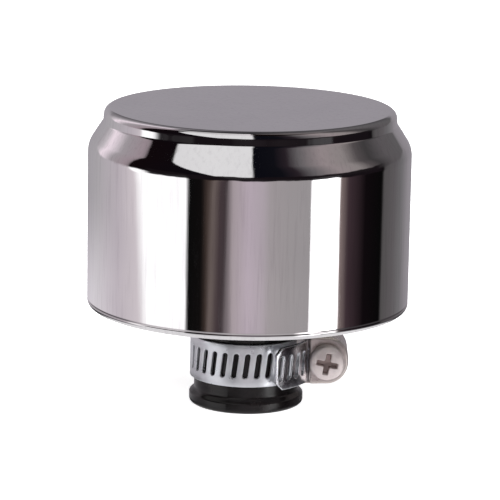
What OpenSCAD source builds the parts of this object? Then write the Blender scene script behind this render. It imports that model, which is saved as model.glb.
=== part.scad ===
// Clamp-on breather air filter with a bright cap over a round element and a
// rubber neck that a worm-drive band clamp grips. Millimetres, +Z up. The origin
// is at the centre of the neck's mouth, and the screw of the clamp is at +X with
// its head towards -Y.

/* [Cap] */
// Outside diameter of the cap's wall
cap_d = 60; // [58:0.5:66]
// Height of the cap's flat top above the neck's mouth
top_z = 55.9; // [55:0.1:62]
// Height of the cap's rim above the neck's mouth
rim_z = 18.8; // [17.5:0.1:19]
// Thickness of the cap's sheet
cap_t = 0.8; // [0.6:0.05:1]
// Radius of the rolled hem along the rim
hem_r = 0.9; // [0.85:0.05:1.2]
// Lean of the shoulder's slope from the vertical, in degrees
shoulder_lean = 33; // [28:1:36]
// Radius of the bend from the wall into the shoulder
shoulder_r = 5; // [3:0.5:6]
// Length of the straight slope on the shoulder
slope_len = 3.45; // [2:0.05:4]
// Radius of the hollow at the foot of the crown
hollow_r = 0.8; // [0.6:0.1:2]
// Height of the crown's upright side
crown_h = 1.1; // [0.2:0.1:1.6]
// Radius of the crown's edge
crown_r = 1.4; // [1:0.1:2]

/* [Neck] */
// Diameter of the pipe that the neck grips
bore_d = 12.7; // [12.2:0.1:13]
// Outside diameter of the neck where the clamp sits
neck_d = 19.6; // [19:0.1:19.6]
// Outside diameter of the bead at the neck's mouth
bead_d = 21.4; // [20.6:0.1:23]
// Height of the bead
bead_h = 1.9; // [1.2:0.1:2.2]
// Outside diameter of the flange at the neck's top
flange_d = 29; // [25:0.5:34]

/* [Element] */
// Outside diameter of the element's end plates and of the base plate
plate_d = 47.2; // [46.8:0.1:48]
// Outside diameter of the pleated media
media_d = 44.8; // [42:0.2:44.8]
// Number of pleats in the media
pleats = 44; // [30:1:50]
// Thickness of the media's paper
paper_t = 0.5; // [0.4:0.05:0.6]
// Outside diameter of the perforated core
core_d = 24.5; // [24.3:0.1:24.6]

/* [Clamp] */
// Width of the clamp's band
band_w = 8; // [7.5:0.1:8]
// Thickness of the band
band_t = 0.7; // [0.6:0.05:0.7]
// Height of the band's middle above the neck's mouth
clamp_z = 9.2; // [8.5:0.1:10]
// Distance between the band's slots, which is also the screw's pitch
pitch = 2.1; // [2:0.05:2.2]
// Width of a slot
slot_w = 1; // [0.95:0.05:1.05]
// Height of a slot
slot_h = 4.7; // [4.4:0.1:5]
// Lean of the slots, in degrees
slot_lean = 7; // [6:0.5:8]
// Distance of the screw's axis from the neck's axis
screw_x = 15; // [15:0.05:15.1]
// Outside radius of the screw's thread
thread_r = 3; // [2.9:0.05:3]
// Radius of the screw's head
head_r = 3.25; // [3:0.05:3.5]

/* [Hidden] */
$fn = 64;

// Cap: the lean of the crown's upright side
crown_lean = 5;
cap_r = cap_d / 2;
wall_top_z = top_z - shoulder_r * sin(shoulder_lean) - slope_len * cos(shoulder_lean)
             - hollow_r * (sin(shoulder_lean) - sin(crown_lean)) - crown_h * cos(crown_lean)
             - crown_r * (1 - sin(crown_lean));
slope_start = [cap_r - shoulder_r * (1 - cos(shoulder_lean)),
               wall_top_z + shoulder_r * sin(shoulder_lean)];
slope_end = slope_start + slope_len * [-sin(shoulder_lean), cos(shoulder_lean)];
hollow_centre = slope_end + hollow_r * [cos(shoulder_lean), sin(shoulder_lean)];
crown_centre = hollow_centre - (hollow_r + crown_r) * [cos(crown_lean), sin(crown_lean)]
             + crown_h * [-sin(crown_lean), cos(crown_lean)];

// Stack inside the cap, from the base plate up
base_z = 19.2;
base_t = 1.2;
gasket_t = 1.5;
sheet_t = 0.7;
rim_h = 3.3;
plate_r = plate_d / 2;
base_top = base_z + base_t;
element_z = base_top + gasket_t;
roof_z = top_z - cap_t;
stud_plate_t = 1.1;
stud_plate_z = roof_z - stud_plate_t;
element_top = stud_plate_z - gasket_t;
media_z = element_z + sheet_t;
media_h = element_top - sheet_t - media_z;
core_t = 0.6;
core_in = core_d / 2 - core_t;
screen_t = 0.4;
screen_gap = 0.1;
media_in = core_d / 2 + screen_t + screen_gap;

// Stud and what holds it
stud_r = 2;
stud_end = 14.2;
stud_hole_r = 2.15;
washer_t = 0.8;
spring_t = 0.9;
nut_t = 3.2;
nut_af = 7;
collar_in = 5.9;
collar_t = 0.8;
collar_z = 13.8;
collar_flange_r = 10.4;
collar_flange_t = 0.6;
bridge_t = 1.4;
bridge_r = 10.4;
rivet_pcd = 17.2;
rivet_r = 1;
rivet_head_r = 1.7;
rivet_head_h = 0.7;

// Clamp: the loop, and the arc on which the free end runs under the screw
loop_in = neck_d / 2 + 0.1;
loop_out = loop_in + band_t;
loop_mid = loop_in + band_t / 2;
slot_step = pitch / loop_mid * 180 / PI;
slot_phase = -89.7;
ramp_start = 75;
fixed_end = 20;
tail_r = 15.1;
tail_x = 12.05 - tail_r;
tail_step = pitch / tail_r * 180 / PI;
tail_tip = -56;
house_y0 = -5.1;
house_y1 = 4.3;
house_t = 0.4;
house_half = band_w / 2 + 0.12;
house_top_x = 19;
house_foot_x = 10.2;
house_corner = 4.1;
wall_x = 12.1;
// The loop's ramp and the free end meet halfway between two slots, inside the housing
seam_steps = 2;
seam_gap = 0.6;
seam_angle = seam_steps * tail_step + seam_gap / 2;
shank_r = 1.8;
journal_r = 1.3;
thread_y0 = -4.3;
thread_y1 = 3.4;
root_r = 2.1;
crest_w = 0.45;
flank = 18;
head_y = house_y0 - 0.15;
head_h = 2.85;
recess_len = 4.2;
recess_w = 1.05;
recess_depth = 1.5;
recess_turn = 11;

function arc(centre, radius, from, to, steps) =
    [for (i = [0:steps]) let (a = from + (to - from) * i / steps)
        centre + radius * [cos(a), sin(a)]];

function reversed(list) = [for (i = [len(list) - 1:-1:0]) list[i]];

// Section of the cap's sheet, moved inwards by the inset
function cap_line(inset) = concat(
    arc([cap_r - shoulder_r, wall_top_z], shoulder_r - inset, 0, shoulder_lean, 6),
    arc(hollow_centre, hollow_r + inset, 180 + shoulder_lean, 180 + crown_lean, 4),
    arc(crown_centre, crown_r - inset, crown_lean, 90, 8));

// Pressed cap with its stepped shoulder and a hem rolled inwards along the rim
module cap_shell() {
    color("silver") rotate_extrude() polygon(concat(
        arc([cap_r - hem_r, rim_z + hem_r], hem_r, 140, 360, 12),
        cap_line(0),
        [[0, top_z], [0, roof_z]],
        reversed(cap_line(cap_t)),
        [[cap_r - cap_t, rim_z + 2 * hem_r]]));
}

module ring(outer, inner, z, height) {
    translate([0, 0, z]) linear_extrude(height) difference() {
        circle(outer);
        circle(inner);
    }
}

// Plate welded under the cap's roof, which presses on the element
module stud_plate() {
    color("gainsboro") translate([0, 0, stud_plate_z]) cylinder(r = 15, h = stud_plate_t);
}

// Stud with a weld flange, welded under the plate
module cap_stud() {
    color("silver") {
        translate([0, 0, stud_end]) cylinder(r1 = stud_r - 0.5, r2 = stud_r, h = 0.5);
        translate([0, 0, stud_end + 0.5])
            cylinder(r = stud_r, h = stud_plate_z - 0.8 - stud_end - 0.5);
        translate([0, 0, stud_plate_z - 0.8]) cylinder(r = 3.4, h = 0.8);
    }
}

module top_gasket() {
    color("dimgray") ring(14, 4.2, element_top, gasket_t);
}

// End plate's section with an outer rim and a lip that centres the core, before
// its hole; the rims rise from the plate
module end_plate(hole_r) {
    lip_r = core_in - 0.05;
    rotate_extrude() union() {
        translate([hole_r, 0]) square([plate_r - hole_r, sheet_t]);
        translate([plate_r - 0.5, 0]) square([0.5, rim_h]);
        translate([lip_r - 0.5, 0]) square([0.5, rim_h - 1]);
    }
}

module upper_end_plate() {
    color("lightgray") translate([0, 0, element_top]) mirror([0, 0, 1]) end_plate(2.3);
}

module lower_end_plate() {
    color("lightgray") translate([0, 0, element_z]) end_plate(core_in - 0.55);
}

// Wire screen as a thin tube with windows
module screen(inner, columns, rows) {
    cell_h = media_h / rows;
    wire = 0.9;
    difference() {
        ring(inner + screen_t, inner, media_z, media_h);
        for (row = [0:rows - 1], column = [0:columns / 2 - 1])
            rotate([0, 0, 360 / columns * column])
                translate([-inner - 1, -(PI * inner / columns - wire / 2),
                           media_z + cell_h * row + wire / 2])
                    cube([2 * inner + 2, 2 * PI * inner / columns - wire, cell_h - wire]);
    }
}

module outer_screen() {
    color("gray") screen(media_d / 2 + screen_gap, 24, 5);
}

module inner_screen() {
    color("gray") screen(core_d / 2 + screen_gap / 2, 16, 5);
}

// Pleated paper: two zigzag lines, one paper thickness apart
module filter_media() {
    outer = media_d / 2;
    half_step = 180 / pleats;
    function zigzag(inner_r, outer_r) = [for (i = [0:2 * pleats - 1])
        (i % 2 == 0 ? outer_r : inner_r) * [cos(i * half_step), sin(i * half_step)]];
    fold_t = 4 * paper_t;
    color("peru") translate([0, 0, media_z]) linear_extrude(media_h) difference() {
        polygon(zigzag(media_in + fold_t, outer));
        polygon(zigzag(media_in, outer - fold_t));
    }
}

// Perforated tube that the media stands around
module inner_core() {
    rows = 6;
    holes = 12;
    color("silver") difference() {
        ring(core_d / 2, core_in, media_z, media_h);
        for (row = [0:rows - 1], hole = [0:holes - 1])
            rotate([0, 0, 360 / holes * (hole + (row % 2) / 2)])
                translate([core_in - 1, 0, media_z + media_h / rows * (row + 0.5)])
                    rotate([0, 90, 0]) cylinder(r = 1.5, h = core_t + 2);
    }
}

module lower_gasket() {
    color("dimgray") ring(21.5, core_in + 0.2, base_top, gasket_t);
}

module at_rivets() {
    for (i = [0:2]) rotate([0, 0, 90 + 120 * i]) translate([rivet_pcd / 2, 0, 0]) children();
}

// Steel plate that carries the element, open all round for the air
module base_plate() {
    color("silver") difference() {
        ring(plate_r, collar_in, base_z, base_t);
        at_rivets() translate([0, 0, base_z - 1]) cylinder(r = rivet_r, h = base_t + 2);
    }
}

// Spider across the outlet that the stud pulls down on
module bridge() {
    color("silver") translate([0, 0, base_top]) linear_extrude(bridge_t) difference() {
        union() {
            difference() {
                circle(bridge_r);
                circle(6.4);
            }
            circle(4.2);
            for (i = [0:2]) rotate(90 + 120 * i) translate([3, -1.2]) square([4, 2.4]);
        }
        circle(stud_hole_r);
        for (i = [0:2]) rotate(90 + 120 * i) translate([rivet_pcd / 2, 0]) circle(rivet_r);
    }
}

// Three rivets through the bridge, the base plate and the collar's flange
module bridge_rivets() {
    low = base_z - collar_flange_t;
    high = base_top + bridge_t;
    color("silver") at_rivets() union() {
        translate([0, 0, low]) cylinder(r = rivet_r, h = high - low);
        translate([0, 0, low - rivet_head_h]) cylinder(r = rivet_head_r, h = rivet_head_h);
        translate([0, 0, high]) cylinder(r = rivet_head_r, h = rivet_head_h);
    }
}

// Steel tube inside the top of the rubber neck, with a flange under the base plate
module neck_collar() {
    flange_z = base_z - collar_flange_t;
    color("silver") difference() {
        union() {
            translate([0, 0, collar_z]) cylinder(r = collar_in + collar_t, h = base_z - collar_z);
            translate([0, 0, flange_z]) cylinder(r = collar_flange_r, h = collar_flange_t);
        }
        translate([0, 0, collar_z - 1]) cylinder(r = collar_in, h = base_z - collar_z + 2);
        at_rivets() translate([0, 0, flange_z - 1]) cylinder(r = rivet_r, h = 3);
    }
}

module flat_washer() {
    color("silver") ring(4.4, stud_hole_r, base_top - washer_t, washer_t);
}

// Split washer
module spring_washer() {
    low = base_top - washer_t - spring_t;
    color("gray") difference() {
        ring(3.6, stud_hole_r, low, spring_t);
        translate([1, -0.3, low - 1]) cube([4, 0.6, spring_t + 2]);
    }
}

// Hexagon nut, turned with a socket through the neck
module lock_nut() {
    low = base_top - washer_t - spring_t - nut_t;
    corner_r = nut_af / 2 / cos(30);
    bevel = 0.35;
    color("silver") difference() {
        intersection() {
            translate([0, 0, low]) cylinder(r = corner_r, h = nut_t, $fn = 6);
            translate([0, 0, low]) rotate_extrude() polygon([
                [0, 0], [corner_r - 2 * bevel, 0], [corner_r + 0.02, bevel],
                [corner_r + 0.02, nut_t - bevel], [corner_r - 2 * bevel, nut_t], [0, nut_t]]);
        }
        translate([0, 0, low - 1]) cylinder(r = stud_r + 0.05, h = nut_t + 2);
    }
}

// Moulded neck: bead, plain stretch for the clamp, and a flange under the base
module rubber_neck() {
    neck_r = neck_d / 2;
    bead_r = bead_d / 2;
    flange_r = flange_d / 2;
    flare = 1.6;
    flange_h = 2.6;
    pocket_r = rivet_head_r + 0.05;
    color("black") difference() {
        rotate_extrude() polygon(concat(
            [[bore_d / 2, base_z], [bore_d / 2, 0]],
            arc([bead_r - 0.8, 0.8], 0.8, -90, 0, 5),
            arc([bead_r - 0.5, bead_h - 0.5], 0.5, 0, 60, 3),
            [[neck_r, bead_h + 0.8]],
            arc([neck_r + flare, base_z - flange_h - flare], flare, 180, 90, 6),
            [[flange_r, base_z - flange_h], [flange_r, base_z]]));
        translate([0, 0, collar_z]) cylinder(r = collar_in + collar_t, h = 10);
        translate([0, 0, base_z - collar_flange_t]) cylinder(r = collar_flange_r, h = 2);
        at_rivets() translate([0, 0, base_z - collar_flange_t - rivet_head_h - 0.1])
            cylinder(r = pocket_r, h = 3);
    }
}

// One slot through the band: local X is radial, and the top leans towards local Y
module slot_cut() {
    rotate([-slot_lean, 0, 0]) rotate([90, 0, 90]) linear_extrude(3, center = true) union() {
        square([slot_w, slot_h - slot_w], center = true);
        for (side = [-1, 1]) translate([0, side * (slot_h - slot_w) / 2]) circle(slot_w / 2);
    }
}

// The way from the loop out to the arc under the screw, as a smooth curve
ramp_from = loop_mid * [cos(ramp_start), sin(ramp_start)];
ramp_to = [tail_x + tail_r * cos(seam_angle), tail_r * sin(seam_angle)];
ramp_pull = 3.6;
ramp_handle_1 = ramp_from + ramp_pull * [sin(ramp_start), -cos(ramp_start)];
ramp_handle_2 = ramp_to - ramp_pull * [sin(seam_angle), -cos(seam_angle)];

function ramp_point(t) = pow(1 - t, 3) * ramp_from + 3 * t * pow(1 - t, 2) * ramp_handle_1
    + 3 * t * t * (1 - t) * ramp_handle_2 + t * t * t * ramp_to;

function ramp_way(t) = 3 * pow(1 - t, 2) * (ramp_handle_1 - ramp_from)
    + 6 * t * (1 - t) * (ramp_handle_2 - ramp_handle_1) + 3 * t * t * (ramp_to - ramp_handle_2);

function ramp_side(t, side) = let (way = ramp_way(t) / norm(ramp_way(t)))
    ramp_point(t) + side * band_t / 2 * [-way[1], way[0]];

// Slotted loop round the neck, from its fixed end under the housing to the ramp
module clamp_band() {
    steps = 12;
    // The ramp starts with a tongue inside the loop, narrower than the band
    root = ramp_side(0, 1) - ramp_side(0, -1);
    tongue = ramp_from - 0.6 * [sin(ramp_start), -cos(ramp_start)];
    slots = floor((360 - ramp_start + fixed_end - 18) / slot_step);
    color("lightsteelblue") translate([0, 0, clamp_z]) difference() {
        union() {
            rotate([0, 0, ramp_start]) rotate_extrude(angle = 360 - ramp_start + fixed_end)
                translate([loop_in, -band_w / 2]) square([band_t, band_w]);
            translate([0, 0, -band_w / 2]) linear_extrude(band_w) polygon(concat(
                [tongue + root / 4], [for (i = [0:steps]) ramp_side(i / steps, 1)],
                [for (i = [steps:-1:0]) ramp_side(i / steps, -1)], [tongue - root / 4]));
        }
        for (i = [-15:slots - 16]) rotate([0, 0, slot_phase + i * slot_step])
            translate([loop_mid, 0, 0]) slot_cut();
        for (t = [0.2, 0.4, 0.6, 0.8]) translate(ramp_point(t))
            rotate([0, 0, atan2(ramp_way(t)[1], ramp_way(t)[0]) + 90]) slot_cut();
    }
}

// Slot number i of the free end; the screw's middle is halfway between numbers -1 and 0
module tail_slot(i) {
    rotate([0, 0, (i + 0.5) * tail_step]) translate([tail_r, 0, 0]) slot_cut();
}

// Free end of the band: it starts in the housing, and its tip has cut corners
module clamp_tail() {
    tip_cut = 1.3;
    color("lightsteelblue") translate([tail_x, 0, clamp_z]) difference() {
        rotate([0, 0, tail_tip]) rotate_extrude(angle = seam_angle - seam_gap - tail_tip)
            translate([tail_r - band_t / 2, -band_w / 2]) square([band_t, band_w]);
        for (i = [-7:seam_steps - 1]) tail_slot(i);
        for (side = [-1, 1]) rotate([0, 0, tail_tip]) translate([tail_r, 0, side * band_w / 2])
            rotate([45, 0, 0]) cube([3, tip_cut * sqrt(2), tip_cut * sqrt(2)], center = true);
    }
}

// Floor of the housing: it sits on the loop, and the free end runs over it
module clamp_saddle() {
    color("silver") translate([0, 0, clamp_z - house_half]) linear_extrude(2 * house_half)
        difference() {
            intersection() {
                translate([tail_x, 0]) circle(tail_r - band_t / 2 - 0.06);
                translate([9, house_y0]) square([5, house_y1 - house_y0]);
            }
            circle(loop_out + 0.02);
        }
}

module house_outline(inset, foot) {
    corner = house_corner - inset;
    half = house_half + house_t - inset;
    top = house_top_x - inset;
    union() {
        translate([foot, -half]) square([top - corner - foot, 2 * half]);
        translate([top - corner - 1, -half + corner]) square([corner + 1, 2 * (half - corner)]);
        for (side = [-1, 1]) translate([top - corner, side * (half - corner)]) circle(corner);
    }
}

// Arched housing over the screw, with a wall at each end that the screw turns in
module clamp_housing() {
    length = house_y1 - house_y0;
    color("tan") translate([0, house_y1, clamp_z]) rotate([90, 0, 0]) difference() {
        linear_extrude(length) house_outline(0, house_foot_x);
        translate([0, 0, house_t]) linear_extrude(length - 2 * house_t)
            house_outline(house_t, house_foot_x - 1);
        translate([0, 0, -1]) linear_extrude(length + 2)
            translate([house_foot_x - 1, -house_half])
                square([wall_x - house_foot_x + 1, 2 * house_half]);
        translate([screw_x, 0, -1]) cylinder(r = journal_r + 0.08, h = 3);
        translate([screw_x, 0, length - 3]) cylinder(r = shank_r + 0.08, h = 5);
    }
}

// Worm: a section with a crest, two flanks and a root turns once per pitch, and its
// crests face the band half a pitch to each side of y 0
module worm() {
    length = thread_y1 - thread_y0;
    crest_a = crest_w / 2 / pitch * 360;
    root_a = (crest_w / 2 + (thread_r - root_r) * tan(flank)) / pitch * 360;
    flank_line = [for (k = [0.25, 0.5, 0.75]) let (a = crest_a + (root_a - crest_a) * k)
        (thread_r + (root_r - thread_r) * k) * [cos(a), sin(a)]];
    linear_extrude(length, twist = -360 * length / pitch, slices = 66, $fn = 20) polygon(concat(
        arc([0, 0], thread_r, -crest_a, crest_a, 4), flank_line,
        arc([0, 0], root_r, root_a, 360 - root_a, 8),
        reversed([for (p = flank_line) [p[0], -p[1]]])));
}

// Pan-head screw with a cross recess, its worm, and a journal at each end
module clamp_screw() {
    edge = 1;
    color("rosybrown") translate([screw_x, 0, clamp_z]) union() {
        translate([0, thread_y1, 0]) rotate([90, 0, 0])
            rotate([0, 0, -360 * thread_y1 / pitch]) worm();
        translate([0, thread_y1 + 1.3, 0]) rotate([90, 0, 0]) cylinder(r = journal_r, h = 1.3);
        translate([0, thread_y0, 0]) rotate([90, 0, 0]) cylinder(r = shank_r, h = thread_y0 - head_y);
        translate([0, head_y, 0]) rotate([90, 0, 0]) difference() {
            rotate_extrude() polygon(concat([[0, 0], [head_r, 0]],
                arc([head_r - edge, head_h - edge - 0.3], edge, 0, 75, 5), [[0, head_h]]));
            translate([0, 0, head_h - recess_depth]) rotate([0, 0, -recess_turn])
                for (quarter = [0, 90]) rotate([0, 0, quarter])
                    translate([-recess_len / 2, -recess_w / 2, 0])
                        cube([recess_len, recess_w, recess_depth + 1]);
        }
    }
}

cap_shell();
stud_plate();
cap_stud();
top_gasket();
upper_end_plate();
outer_screen();
filter_media();
inner_screen();
inner_core();
lower_end_plate();
lower_gasket();
base_plate();
bridge();
bridge_rivets();
neck_collar();
flat_washer();
spring_washer();
lock_nut();
rubber_neck();
clamp_band();
clamp_tail();
clamp_saddle();
clamp_housing();
clamp_screw();
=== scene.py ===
import math
import bmesh
import bpy
import numpy as np
from mathutils import Matrix, Vector


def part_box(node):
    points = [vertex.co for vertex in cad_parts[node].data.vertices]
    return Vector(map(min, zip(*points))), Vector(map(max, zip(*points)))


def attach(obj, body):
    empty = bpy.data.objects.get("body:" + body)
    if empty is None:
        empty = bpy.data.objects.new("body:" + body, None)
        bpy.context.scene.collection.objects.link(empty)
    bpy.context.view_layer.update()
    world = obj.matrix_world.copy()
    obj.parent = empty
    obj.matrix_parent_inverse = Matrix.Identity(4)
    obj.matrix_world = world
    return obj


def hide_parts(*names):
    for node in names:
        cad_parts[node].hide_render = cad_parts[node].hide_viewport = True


# Looks for a clamp-on breather filter: chromed cap, rubber neck, worm-drive clamp and
# the element inside. Lengths in the dictionaries are millimetres, angles degrees.

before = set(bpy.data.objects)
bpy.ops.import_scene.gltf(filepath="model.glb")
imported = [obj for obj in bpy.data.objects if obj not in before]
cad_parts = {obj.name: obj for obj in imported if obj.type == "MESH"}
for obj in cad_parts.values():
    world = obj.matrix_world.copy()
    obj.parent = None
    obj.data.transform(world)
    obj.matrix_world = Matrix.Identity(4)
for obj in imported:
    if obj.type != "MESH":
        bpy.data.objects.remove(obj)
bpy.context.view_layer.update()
print("frame loaded with", len(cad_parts), "nodes")

millimetre = 0.001
fullTurn = 2 * math.pi


def gridQuads(rows, columns, closeRows, closeColumns):
    # point (i, j) is number i * columns + j, and a closed direction runs back to its start
    i = np.arange(rows if closeRows else rows - 1)[:, None]
    j = np.arange(columns if closeColumns else columns - 1)[None, :]
    nextI, nextJ = (i + 1) % rows, (j + 1) % columns
    corners = (i * columns + j, nextI * columns + j, nextI * columns + nextJ, i * columns + nextJ)
    return np.stack(np.broadcast_arrays(*corners), -1).reshape(-1, 4)


def patch(points, closeRows=False, closeColumns=False):
    # one grid of points, or a stack of equal grids, with the quads that join them
    rows, columns = points.shape[-3:-1]
    stack = points.reshape(-1, rows, columns, 3)
    quads = gridQuads(rows, columns, closeRows, closeColumns)
    starts = np.arange(len(stack))[:, None, None] * rows * columns
    return stack.reshape(-1, 3), (quads[None] + starts).reshape(-1, 4)


def buildPiece(name, patches, body, material, replaced):
    # joins patches into one closed mesh that stands for the CAD nodes in replaced
    points = np.concatenate([p for p, q in patches]) * millimetre
    starts = np.cumsum([0] + [len(p) for p, q in patches])
    quads = np.concatenate([q + start for (p, q), start in zip(patches, starts)])
    mesh = bpy.data.meshes.new(name)
    mesh.from_pydata(points.tolist(), [], quads.tolist())
    work = bmesh.new()
    work.from_mesh(mesh)
    bmesh.ops.remove_doubles(work, verts=work.verts, dist=1e-6)
    bmesh.ops.recalc_face_normals(work, faces=work.faces)
    work.to_mesh(mesh)
    work.free()
    mesh.shade_smooth()
    mesh.materials.append(material)
    piece = bpy.data.objects.new(name, mesh)
    bpy.context.scene.collection.objects.link(piece)
    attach(piece, body)
    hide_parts(*replaced)
    print("piece", name, len(mesh.polygons), "faces")
    return piece


def arc(centre, radius, start, end, steps):
    # centre + radius (cos a, sin a) for a from start to end, in degrees
    a = np.radians(np.linspace(start, end, steps + 1))
    return np.asarray(centre, float) + radius * np.stack([np.cos(a), np.sin(a)], 1)


def roundedOutline(corners, steps=6):
    # closed outline: each corner (x, y, radius) becomes an arc that touches both its
    # sides, with a point a little way along each side to keep the flats flat: a share of
    # the corner's radius away, and no more than a share of the side
    radiusShare, sideShare = 0.6, 0.25
    spots = np.array([c[:2] for c in corners], float)
    radii = np.array([c[2] for c in corners], float)
    back = np.roll(spots, 1, axis=0) - spots
    ahead = np.roll(spots, -1, axis=0) - spots
    reach = np.linalg.norm(ahead, axis=1)
    back /= np.linalg.norm(back, axis=1)[:, None]
    ahead /= reach[:, None]
    half = np.arccos(np.clip((back * ahead).sum(1), -1, 1)) / 2
    cut = radii / np.tan(half)
    spare = reach - cut - np.roll(cut, -1)
    pieces = []
    for i, (spot, radius) in enumerate(zip(spots, radii)):
        middle = back[i] + ahead[i]
        centre = spot + middle / np.linalg.norm(middle) * radius / math.sin(half[i])
        first, last = spot + back[i] * cut[i] - centre, spot + ahead[i] * cut[i] - centre
        sweep = math.pi - 2 * half[i]
        k = np.linspace(0, 1, steps + 1)[:, None]
        bend = centre + (first * np.sin((1 - k) * sweep) + last * np.sin(k * sweep)) / math.sin(sweep)
        before = spot + back[i] * (cut[i] + min(radiusShare * radius, sideShare * spare[i - 1]))
        after = spot + ahead[i] * (cut[i] + min(radiusShare * radius, sideShare * spare[i]))
        pieces += [before[None], bend, after[None]]
    return np.concatenate(pieces)


def lathe(profile, segments=160, closed=True):
    # profile point (r, z) turned through angle a is (r cos a, r sin a, z)
    a = np.linspace(0, fullTurn, segments, endpoint=False)
    r, z = profile[:, 0, None], profile[:, 1, None]
    turned = np.stack(np.broadcast_arrays(r * np.cos(a), r * np.sin(a), z), -1)
    return patch(turned, closeRows=closed, closeColumns=True)


def makePath(points, side):
    # a plan line with its running length, its direction, and the normal on that side
    way = np.gradient(points, axis=0)
    way /= np.linalg.norm(way, axis=1)[:, None]
    steps = np.linalg.norm(np.diff(points, axis=0), axis=1)
    length = np.concatenate([[0], np.cumsum(steps)])
    return {"at": points, "way": way, "normal": side * np.stack([-way[:, 1], way[:, 0]], 1),
            "length": length}


def onPath(path, s, height):
    # the point s along the path and height out along its normal; past an end the path
    # runs on straight
    inside = np.clip(s, 0, path["length"][-1])
    look = [np.stack([np.interp(inside, path["length"], path[key][:, k]) for k in (0, 1)], -1)
            for key in ("at", "way", "normal")]
    return look[0] + look[1] * (s - inside)[..., None] + look[2] * height[..., None]


def sheetEdge(thickness, radius, steps=3):
    # (outwards, height) from one face of a sheet round to the other, with rounded arrises
    a = np.linspace(0, math.pi / 2, steps + 1)
    upper = np.stack([radius * np.sin(a), thickness / 2 - radius + radius * np.cos(a)], 1)
    return np.concatenate([upper, upper[::-1] * (1, -1)])


def edgeWall(outline, edge, outwards=1):
    # carries the edge's section round a closed outline of (s, v) points
    way = np.roll(outline, -1, axis=0) - np.roll(outline, 1, axis=0)
    way /= np.linalg.norm(way, axis=-1)[..., None]
    normal = outwards * np.stack([way[..., 1], -way[..., 0]], -1)
    flat = outline[None] + edge[:, 0, None, None] * normal[None]
    height = np.broadcast_to(edge[:, 1, None], flat.shape[:2])
    return np.concatenate([flat, height[..., None]], -1)


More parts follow.
